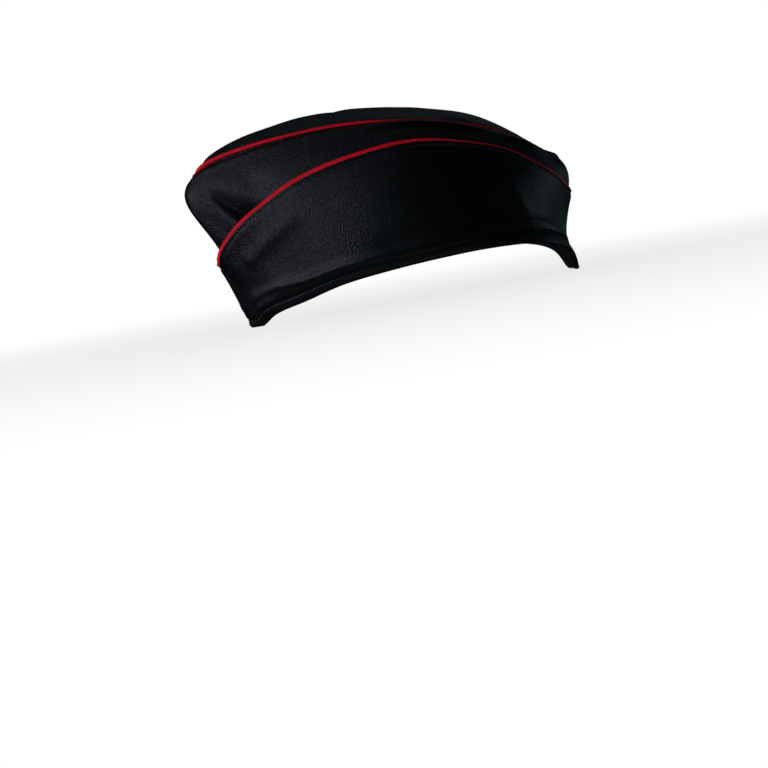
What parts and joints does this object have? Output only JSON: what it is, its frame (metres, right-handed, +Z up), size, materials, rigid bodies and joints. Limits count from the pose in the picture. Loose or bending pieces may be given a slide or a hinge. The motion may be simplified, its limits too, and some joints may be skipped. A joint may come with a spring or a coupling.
{
  "type": "side cap",
  "caption": "Leather side cap: a hollow boat-shaped crown with a domed top panel, turn-ups folded up round the rim, and piped edges.",
  "frame": {"origin": "middle of the cap's box, on the surface that its rim rests on", "axes": "+Z up, the front of the cap faces -Y, the wearer's left is +X"},
  "size_m": [0.159, 0.2458, 0.1274],
  "materials": {
    "leather": "semi-gloss grained black leather",
    "piping": "smooth red leather"
  },
  "bodies": {
    "root": {"crown_left": "leather", "crown_right": "leather", "crown_top": "leather", "turn_up_left": "leather", "turn_up_right": "leather", "top_piping_left": "piping", "top_piping_right": "piping", "turn_up_piping_left": "piping", "turn_up_piping_right": "piping"}
  },
  "joints": []
}
